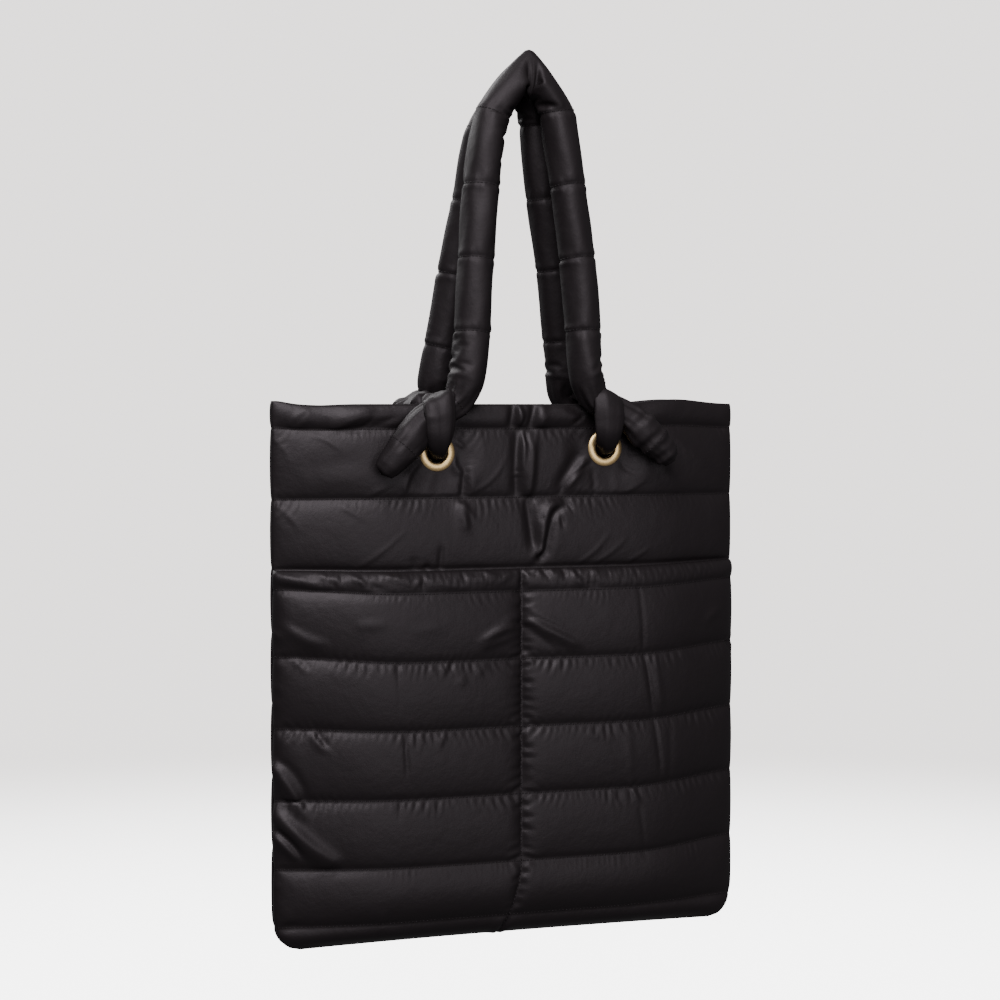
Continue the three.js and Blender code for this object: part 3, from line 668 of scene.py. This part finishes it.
body, faces, lines = quiltedSheet(
    heights, shares, frontPanel["seams"], lambda a, z: panelDepths(a, z, 1.0 * (z < 296)), -1,
    frontPanel["puffOut"], frontPanel["puckers"], frontPanel["gathers"], folds=frontFolds, lastRowHold=0.5,
    extraHold=lambda a, z: np.maximum(eyeletHold(a, z), 1.0 * (z < 298)),
    extraWide=lambda a, z: 0.01 * bell(a * halfWidth - 4, 45) * (z > 300))
points, faces = withStitches(body, punched(body, faces), lines)
frontPiece = makePiece("panel_front", points, faces, nylon, "front_panel")
print("front panel", len(faces))

# The back panel
backPanel = {"seams": seamsDown(panelSeam, panelPitch), "puffOut": 4.4, "puckers": 0.1,
             "gathers": [0.4, 0.5, 0.8, 0.9, 0.8, 0.9, 0.7, 0.5]}
heights, shares = rowsThrough([0.0] + backPanel["seams"] + [bagHeight], 2.8)
body, faces, lines = quiltedSheet(
    heights, shares, backPanel["seams"], lambda a, z: panelDepths(a, z, 0.0), 1, backPanel["puffOut"],
    backPanel["puckers"], backPanel["gathers"], extraHold=eyeletHold, lastRowHold=0.5,
    extraWide=lambda a, z: 0.01 * bell(a * halfWidth - 4, 60) * (z > 300))
points, faces = withStitches(body, punched(body, faces), lines)
backPiece = makePiece("panel_back", points, faces, nylon, "back_panel")
print("back panel", len(faces))

# The eyelets: radius and height of each point of the turned profile, from the middle of the cloth
eyeletProfile = [
    {"radius": 9.4, "height": -1.8}, {"radius": 14.0, "height": -1.8}, {"radius": 14.0, "height": -2.9},
    {"radius": 8.5, "height": -2.9}, {"radius": 8.5, "height": 2.3}, {"radius": 8.7, "height": 2.8},
    {"radius": 9.3, "height": 3.2}, {"radius": 10.6, "height": 3.48}, {"radius": 12.0, "height": 3.4},
    {"radius": 13.4, "height": 3.05}, {"radius": 14.4, "height": 2.5}, {"radius": 14.9, "height": 2.0},
    {"radius": 15.0, "height": 1.8}, {"radius": 9.4, "height": 1.8},
]


# The profile turned round the eyelet's axis
def makeEyelet(name, node, place, centre, face):
    sides = 72
    angle = np.arange(sides) / sides * 2 * np.pi
    radius = np.array([row["radius"] for row in eyeletProfile])[:, None]
    height = np.array([row["height"] for row in eyeletProfile])[:, None] + 0 * angle
    x = place + radius * np.cos(angle)
    z = centre + radius * np.sin(angle)
    points = np.stack([x, face * (padDepth - padWall / 2 + height), z], -1)
    ring = np.concatenate([points, points[:1]])
    faces = gridFaces(*ring.shape[:2], wrap=True, flip=face < 0) % points[..., 0].size
    return makePiece(name, points, faces, gold, node)


for sideName, (place, centre) in zip(("left", "right"), eyeletPlaces):
    for faceName, face in (("front", -1), ("back", 1)):
        makeEyelet(f"ring_{faceName}_{sideName}", f"eyelet_{faceName}_{sideName}", place, centre, face)
print("eyelets", 2 * len(eyeletPlaces))

# The handles, from beside the peak down: rise as a share of the peak's height, spread of half the eyelets' spacing
frontLeg = [
    {"rise": 0.975, "spread": 0.205}, {"rise": 0.93, "spread": 0.318}, {"rise": 0.86, "spread": 0.402},
    {"rise": 0.776, "spread": 0.47}, {"rise": 0.672, "spread": 0.512}, {"rise": 0.522, "spread": 0.57},
    {"rise": 0.336, "spread": 0.635}, {"rise": 0.179, "spread": 0.665}, {"rise": 0.09, "spread": 0.7},
]
backLeg = [
    {"rise": 0.955, "spread": 0.2}, {"rise": 0.91, "spread": 0.28}, {"rise": 0.85, "spread": 0.325},
    {"rise": 0.746, "spread": 0.385}, {"rise": 0.634, "spread": 0.45}, {"rise": 0.485, "spread": 0.555},
    {"rise": 0.336, "spread": 0.64}, {"rise": 0.2, "spread": 0.71}, {"rise": 0.1, "spread": 0.775},
]
# The knot and the tail: out, up and off the cloth from the eyelet's centre, as shares of the handle's thickness
knotRoute = [
    {"out": -0.5, "up": 1.42, "off": 0.38}, {"out": -0.22, "up": 1.2, "off": 0.34},
    {"out": 0.13, "up": 1.05, "off": 0.34}, {"out": 0.53, "up": 0.84, "off": 0.39},
]
tailRoute = [
    {"along": 0.3, "off": 0.52, "wide": 0.98, "thick": 0.62},
    {"along": 0.62, "off": 0.53, "wide": 0.86, "thick": 0.56},
    {"along": 0.88, "off": 0.48, "wide": 0.72, "thick": 0.44},
    {"along": 1.0, "off": 0.45, "wide": 0.56, "thick": 0.26},
]
tailRoot = {"wide": 0.8, "thick": 0.58}
tailAngles = {-1: 50, 1: 42}


# Points along a smooth curve through the given ones, evenly spaced, with how far along each one lies
def smoothPath(route, step, closed=False):
    route = np.array(route, float)
    if closed:
        route = np.concatenate([route[-2:], route, route[:3]])
    gaps = np.linalg.norm(np.diff(route, axis=0), axis=1) ** 0.5
    knots = np.concatenate([[0], np.cumsum(gaps)])
    slope = np.gradient(route, knots, axis=0)
    fine = np.linspace(knots[0], knots[-1], 60 * len(route))
    if closed:
        fine = np.linspace(knots[2], knots[-3], 60 * len(route))
    i = np.clip(np.searchsorted(knots, fine, side="right") - 1, 0, len(knots) - 2)
    h = (knots[i + 1] - knots[i])[:, None]
    t = ((fine - knots[i]) / h[:, 0])[:, None]
    curve = ((2 * t ** 3 - 3 * t ** 2 + 1) * route[i] + (t ** 3 - 2 * t ** 2 + t) * h * slope[i]
             + (3 * t ** 2 - 2 * t ** 3) * route[i + 1] + (t ** 3 - t ** 2) * h * slope[i + 1])
    run = np.concatenate([[0], np.cumsum(np.linalg.norm(np.diff(curve, axis=0), axis=1))])
    count = int(round(run[-1] / step))
    places = np.linspace(0, run[-1], count + 1)
    if closed:
        places = places[:-1]
    return alongLine(places, run, curve), places


# Unit steps along a line of points
def directions(points, closed=False):
    if closed:
        along = np.roll(points, -1, 0) - np.roll(points, 1, 0)
    else:
        along = np.gradient(points, axis=0)
    return along / np.linalg.norm(along, axis=1, keepdims=True)


# Rings of a tube: half sizes along the side direction (wide) and across it (thick)
def tubeRings(centres, along, side, halfSide, halfCross, around):
    u = side - along * (side * along).sum(1, keepdims=True)
    u /= np.linalg.norm(u, axis=1, keepdims=True)
    v = np.cross(along, u)
    angle = np.arange(around) / around * 2 * np.pi
    return (centres[:, None] + u[:, None] * (halfSide[:, None] * np.cos(angle))[..., None]
            + v[:, None] * (halfCross[:, None] * np.sin(angle))[..., None])


# Rings turned the other way round where their faces would point inwards
def facingOut(rings):
    inward = np.cross(rings[5, 1] - rings[5, 0], rings[6, 0] - rings[5, 0]) @ (rings[5, 0] - rings[5].mean(0)) < 0
    return rings[:, (-np.arange(rings.shape[1])) % rings.shape[1]] if inward else rings


# Ripples that run along a tube, with a phase that wanders
def ripples(rows, around, waves):
    angle = np.arange(around) / around * 2 * np.pi
    along = np.arange(rows)[:, None]
    total = np.zeros((rows, around))
    for count, wander, size in waves:
        phase = rng.uniform(0, 6.28) + 0.8 * np.sin(along / wander + rng.uniform(0, 6.28))
        total += size * np.cos(count * angle[None] + phase)
    return total


# Half of a handle from its peak to a tail's tip: the rings, how far along each lies, and how far each is into the knot
# and into the tail
def halfHandle(leg, side, face, stretch, firstSeam):
    half = handleThickness / 2
    peakRise = hangRise + half * stretch + 1
    rise = np.array([row["rise"] for row in leg])
    spread = np.array([row["spread"] for row in leg])
    lean = (peakX - eyeletShift) * (0.35 * smooth(rise / 0.3) + 0.65 * smooth((rise - 0.8) / 0.2))
    x = eyeletShift + lean + side * spread * eyeletX
    legPoints = np.stack([x, face * mix(legDepth, peakDepth, rise), bagHeight + rise * peakRise], -1)
    out = np.array([row["out"] for row in knotRoute]) * handleThickness
    up = np.array([row["up"] for row in knotRoute]) * handleThickness
    off = np.array([row["off"] for row in knotRoute]) * handleThickness
    angle = np.radians(tailAngles[side])
    reach = np.array([row["along"] for row in tailRoute]) * tailLength
    out = np.concatenate([out, out[-1] + reach * np.cos(angle)])
    up = np.concatenate([up, up[-1] - reach * np.sin(angle)])
    off = np.concatenate([off, np.array([row["off"] for row in tailRoute]) * handleThickness])
    knotZ = eyeletZ + eyeletLift[side > 0]
    knot = np.stack([eyeletShift + side * (eyeletX + out), face * (padDepth + off), knotZ + up], -1)
    peak = np.array([[peakX, face * peakDepth, bagHeight + peakRise]])
    points, distance = smoothPath(np.concatenate([legPoints, knot]), 1.7)
    length = distance[-1]
    lead = np.linalg.norm(points[0] - peak[0])
    seamShare = ((distance + lead - firstSeam) / handlePitch) % 1
    swell = mix(*handleSwell, puffAt(seamShare))
    squeeze = mix(peakSqueeze, 1, smooth(distance / (2 * handleThickness)))
    knotted = smooth((distance - (length - tailLength - 1.8 * handleThickness)) / (0.75 * handleThickness))
    stops = np.array([0.0] + [row["along"] for row in tailRoute])
    tail = clamp((distance - (length - tailLength)) / tailLength)
    sizes = {key: np.interp(tail, stops, [tailRoot[key]] + [row[key] for row in tailRoute]) for key in tailRoot}
    wide = mix(swell, sizes["wide"], knotted) * half
    thick = mix(swell, sizes["thick"], knotted) * half * squeeze
    around = 48
    sideways = np.array([[0.0, face, 0.0]]) + 0 * points
    rings = tubeRings(points, directions(points), sideways, thick, wide, around)
    # The rings beside the peak turn into the upright ring of the fold
    fold = tubeRings(peak, np.array([[1.0 * side, 0, 0]]), np.array([[0.0, face, 0.0]]),
                     np.array([half * peakSqueeze * foldSqueeze]), np.array([half * stretch]), around)
    bridgeCount = 10
    share = (np.arange(1, bridgeCount) / bridgeCount)[:, None, None]
    tangent = (rings[1] - rings[0]) * bridgeCount
    end = rings[:1]
    bridge = mix(fold, end, share) + (share ** 2 * (share - 1)) * (tangent - (end - fold))
    rings = np.concatenate([fold, bridge, rings])
    distance = np.concatenate([np.linspace(0, lead, bridgeCount, endpoint=False), distance + lead])
    # The outer side of the bend is fuller, up to shoulder millimetres, as half a wave over 1.6 handle widths, and its
    # inner side is tucked up by tuck millimetres over two widths
    rise = (rings[..., 2] - rings[..., 2].mean(1, keepdims=True)) / half
    full = shoulder * np.sin(np.pi * clamp(distance / (1.6 * handleThickness)))
    rings = rings + (full[:, None] * clamp(rise))[..., None] * np.array([0.55 * side, 0, 0.83])
    rings[..., 2] += (tuck * np.sin(np.pi * clamp(distance / (2 * handleThickness))))[:, None] * clamp(-rise)
    knotted = np.concatenate([np.zeros(bridgeCount), knotted])
    tail = np.concatenate([np.zeros(bridgeCount), tail])
    return rings, distance, knotted, tail


# A whole handle: both halves solved as cloth, with ripples, folds and a cap on each tail
def handlePiece(leg, face, stretch, firstSeams):
    parts, quads, lines, caps, total = [], [], [], [], 0
    for side in (-1, 1):
        sideSeam = firstSeams[side > 0]
        rings, distance, knotted, tail = halfHandle(leg, side, face, stretch, sideSeam)
        rows, around = rings.shape[:2]
        seamPhase = (distance - sideSeam) / handlePitch
        nearSeam = np.abs(seamPhase - np.round(seamPhase)) * handlePitch
        hold = np.zeros((rows, around))
        hold += (0.9 * (nearSeam < 0.9) * (knotted < 0.3))[:, None]
        hold = np.maximum(hold, (0.15 + 0.8 * knotted)[:, None] * (knotted > 0.02)[:, None])
        hold[:2] = 1
        hold[-1] = 1
        radius = np.linalg.norm(rings - rings.mean(1, keepdims=True), axis=2).mean(1)
        angle = np.arange(around) / around * 2 * np.pi
        flat = np.stack([radius[:, None] * np.cos(angle), radius[:, None] * np.sin(angle),
                         distance[:, None] + 0 * angle], -1)
        wide = (0.01 + 0.05 * bell(nearSeam, 6.0))[:, None] + np.zeros((rows, around))
        tall = 0.012 + np.zeros((rows, around))
        moved = relaxCloth(facingOut(rings), flat, wide, tall, hold, 0.02, wrap=True, steps=60)
        normals = gridNormals(moved, True)
        pleats = ripples(rows, around, [(7, 30.0, 0.45), (11, 22.0, 0.3), (4, 40.0, 0.5)])
        gathers = ripples(around, rows, [(rows // 5, 9.0, 0.35), (rows // 8, 7.0, 0.4)]).T
        lumps = ripples(rows, around, [(2, 13.0, 0.45), (3, 8.0, 0.4), (5, 5.0, 0.25)])
        tucks = ripples(rows, around, [(9, 8.0, 0.3), (14, 6.0, 0.22)])
        free = smooth((distance - 6) / 20) * (1 - hold[:, 0] * (nearSeam < 0.9))
        tucks = tucks * (bell(nearSeam, 6.0) * smooth(nearSeam / 2))[:, None]
        moved = moved + normals * ((lumps * smooth(nearSeam / 8)[:, None] + tucks) * free[:, None])[..., None]
        creases = pleats * (smooth(knotted * 2) * (1 - 0.7 * smooth(tail * 3)))[:, None]
        moved = moved + normals * (creases + 1.5 * gathers * smooth(tail * 4)[:, None] * (side > 0))[..., None]
        parts.append(moved.reshape(-1, 3))
        quads.append(gridFaces(rows, around, wrap=True, first=total))
        seamRows = [int(np.argmin(np.abs(seamPhase - k))) for k in range(7)
                    if seamPhase.max() > k and k * handlePitch + sideSeam < distance[-1] - tailLength * 0.2]
        for row in seamRows:
            ring = np.concatenate([moved[row], moved[row, :1]])
            lines.append((ring, np.concatenate([normals[row], normals[row, :1]])))
        total += rows * around
        # A cap that closes the tail's tip
        tip = moved[-1].mean(0)
        parts.append((tip + (tip - moved[-3].mean(0)) * 0.8)[None])
        ids = np.arange(around) + total - around
        cap = np.stack([ids, np.roll(ids, -1), np.full(around, total)], -1)
        caps += cap.tolist()
        total += 1
    return parts, quads, lines, caps, total


# The loop that ties a handle down: its half sizes in the eyelet and outside it, how far it leans in, and how far it
# slopes down to its outer side
loop = {"squeezed": 6.6, "thick": 5.5, "wide": 13.0, "lean": 5.0, "slope": 8.0, "around": 40, "step": 1.4}


# The loop's rings, from depths and heights of its points with their half sizes
def tieLoop(side, face):
    squeezed, thick, wide = loop["squeezed"], loop["thick"], loop["wide"]
    wallMiddle = padDepth - padWall / 2
    rimFace = padDepth + seamClear + 1.7
    front = padDepth + 0.6 + 0.5 * handleThickness + thick
    inside = padDepth - padWall - seamClear - 1.1 - 0.6 - thick
    over = bagHeight + 1.2 + thick

    def height(share):
        return mix(eyeletZ + eyeletLift[side > 0], over, share)

    route = [
        {"depth": wallMiddle, "z": height(0.02), "wide": squeezed, "thick": squeezed},
        {"depth": rimFace + squeezed * 0.7, "z": height(0.04), "wide": squeezed, "thick": squeezed},
        {"depth": mix(rimFace, front, 0.68), "z": height(0.13), "wide": 0.75 * wide, "thick": 0.98 * thick},
        {"depth": mix(rimFace, front, 0.95), "z": height(0.32), "wide": 0.9 * wide, "thick": thick},
        {"depth": front, "z": height(0.55), "wide": wide, "thick": thick},
        {"depth": front, "z": height(0.78), "wide": wide, "thick": thick},
        {"depth": mix(wallMiddle, front, 0.82), "z": height(1.02), "wide": wide, "thick": thick},
        {"depth": mix(wallMiddle, front, 0.45), "z": over, "wide": 0.95 * wide, "thick": thick},
        {"depth": wallMiddle, "z": over, "wide": 0.85 * wide, "thick": thick},
        {"depth": mix(inside, wallMiddle, 0.08), "z": height(0.9), "wide": 0.75 * wide, "thick": 0.95 * thick},
        {"depth": inside, "z": height(0.68), "wide": 0.7 * wide, "thick": 0.95 * thick},
        {"depth": inside, "z": height(0.4), "wide": 0.65 * wide, "thick": 0.95 * thick},
        {"depth": inside, "z": height(0.14), "wide": 0.6 * wide, "thick": 0.9 * thick},
        {"depth": mix(inside, wallMiddle, 0.3), "z": height(-0.02), "wide": squeezed, "thick": 0.82 * thick},
    ]
    depth = np.array([row["depth"] for row in route])
    lean = loop["lean"] * smooth((depth - rimFace) / (front - rimFace))
    x = eyeletShift + side * eyeletX - lean
    stations = np.stack([x, face * depth, np.array([row["z"] for row in route])], -1)
    points, _ = smoothPath(stations, loop["step"], closed=True)
    count = len(points)
    nearest = np.linspace(0, len(route), count, endpoint=False)
    index = np.arange(len(route) + 1)
    sizes = {key: np.array([row[key] for row in route] + [route[0][key]]) for key in ("wide", "thick")}
    halfSide = np.interp(nearest, index, sizes["wide"])
    halfCross = np.interp(nearest, index, sizes["thick"])
    sideways = np.array([[1.0, 0.0, 0.0]]) + 0 * points
    rings = tubeRings(points, directions(points, True), sideways, halfSide, halfCross, loop["around"])
    outward = rings - rings.mean(1, keepdims=True)
    outward /= np.linalg.norm(outward, axis=2, keepdims=True)
    waves = ripples(count, loop["around"], [(7, 16.0, 0.2), (13, 12.0, 0.12), (5, 30.0, 0.3)])
    fade = smooth(np.minimum(np.arange(count), count - np.arange(count)) / 8)[:, None]
    rings = rings + outward * (waves * fade)[..., None]
    aside = clamp((side * (rings[..., 0] - eyeletShift - side * eyeletX + side * loop["lean"]) / wide + 1) / 2)
    high = smooth((rings[..., 2] - height(0.45)) / (0.5 * (over - eyeletZ)))
    high = high * smooth((face * rings[..., 1] - inside) / 8)
    rings[..., 2] -= loop["slope"] * aside ** 2.6 * high
    return facingOut(rings)


# Adds a loop, closed on itself, to the parts of a handle
def addLoop(parts, quads, total, side, face):
    rings = tieLoop(side, face)
    rows, around = rings.shape[:2]
    closed = np.concatenate([rings, rings[:1]])
    faces = gridFaces(*closed.shape[:2], wrap=True) % (rows * around)
    parts.append(rings.reshape(-1, 3))
    quads.append(faces + total)
    return total + rows * around


handleRows = [
    {"name": "strap_front", "node": "handle_front", "leg": frontLeg, "face": -1, "stretch": 1.36,
     "firstSeams": (48.0, 42.5)},
    {"name": "strap_back", "node": "handle_back", "leg": backLeg, "face": 1, "stretch": 1.05,
     "firstSeams": (50.5, 39.5)},
]
for row in handleRows:
    parts, quads, lines, caps, total = handlePiece(row["leg"], row["face"], row["stretch"], row["firstSeams"])
    for side in (-1, 1):
        total = addLoop(parts, quads, total, side, row["face"])
    body, faces = np.concatenate(parts), np.concatenate(quads)
    points, faces = withStitches(body, faces, lines)
    allFaces = faces.tolist() + caps
    piece = makePiece(row["name"], points, allFaces, matteNylon, row["node"])
    print(row["name"], len(allFaces))


# The studio: a round pale floor that runs up into a wall and a dome. The cloth mirrors the lamps and the sky outside,
# not the room.
studio = {"floorZ": -0.83, "floorRadius": 4.0, "bend": 1.5, "wallTop": 3.0, "sides": 64, "glow": 6.0, "sky": 0.165}
lamps = [
    {"name": "above", "place": (-0.9, -1.9, 1.6), "size": (2.0, 2.0), "power": 112},
    {"name": "front", "place": (0.4, -3.2, -0.4), "size": (2.2, 2.0), "power": 27},
    {"name": "behind", "place": (-1.0, 2.4, 1.7), "size": (2.2, 2.2), "power": 90},
]
lampAim = (0, 0, -0.4)
view = {"place": (-0.7496, -1.9059, -0.245), "tilt": 2.2, "turn": -21, "lens": 90, "sensor": 36}


# The room's profile turned round the upright axis: floor, bend, wall and dome
def makeStage():
    shader = Shader("paleRoom")
    shader.set(Base_Color=(0.05, 0.05, 0.05, 1), Roughness=1.0, Emission_Color=shader.glow(),
               Emission_Strength=studio["glow"])
    shader.surface.inputs["Specular IOR Level"].default_value = 0.0
    shader.material.cycles.emission_sampling = "NONE"
    turn = np.linspace(0, np.pi / 2, 16)
    reach = studio["floorRadius"] + studio["bend"]
    bend, top = studio["bend"], studio["wallTop"]
    radius = np.concatenate([[0.01], reach - bend + bend * np.sin(turn), reach * np.cos(turn[1:-1]), [0.01]])
    height = np.concatenate([[0.0], bend - bend * np.cos(turn), top + reach * np.sin(turn[1:-1]), [top + reach]])
    angle = np.arange(studio["sides"]) / studio["sides"] * 2 * np.pi
    points = np.stack([radius[:, None] * np.cos(angle), radius[:, None] * np.sin(angle),
                       height[:, None] + studio["floorZ"] + 0 * angle], -1)
    mesh = bpy.data.meshes.new("room")
    mesh.from_pydata(points.reshape(-1, 3).tolist(), [], gridFaces(*points.shape[:2], wrap=True, flip=True).tolist())
    mesh.polygons.foreach_set("use_smooth", [True] * len(mesh.polygons))
    mesh.materials.append(shader.material)
    room = bpy.data.objects.new("room", mesh)
    room.visible_diffuse = False
    room.visible_glossy = False
    room.visible_shadow = False
    bpy.context.scene.collection.objects.link(room)


# A square lamp turned towards the aim
def makeLight(name, place, size, power):
    data = bpy.data.lights.new(name, "AREA")
    data.shape = "RECTANGLE"
    data.size, data.size_y = size
    data.energy = power
    light = bpy.data.objects.new(name, data)
    light.location = place
    run = np.array(lampAim) - np.array(place)
    yaw = np.arctan2(-run[0], run[1])
    pitch = np.arctan2(run[2], np.hypot(run[0], run[1])) + np.pi / 2
    light.rotation_euler = Euler((pitch, 0, yaw))
    bpy.context.scene.collection.objects.link(light)


makeStage()
for row in lamps:
    makeLight(row["name"], row["place"], row["size"], row["power"])

world = bpy.data.worlds.new("studio")
world.use_nodes = True
sky = world.node_tree.nodes["Background"]
sky.inputs["Color"].default_value = (0.85, 0.85, 0.87, 1)
sky.inputs["Strength"].default_value = studio["sky"]
bpy.context.scene.world = world

camera = bpy.data.objects.new("camera", bpy.data.cameras.new("camera"))
camera.data.lens = view["lens"]
camera.data.sensor_width = view["sensor"]
camera.location = view["place"]
camera.rotation_euler = Euler((np.radians(90 - view["tilt"]), 0, np.radians(view["turn"])))
bpy.context.scene.collection.objects.link(camera)
bpy.context.scene.camera = camera
print("studio", len(lamps), "lamps")
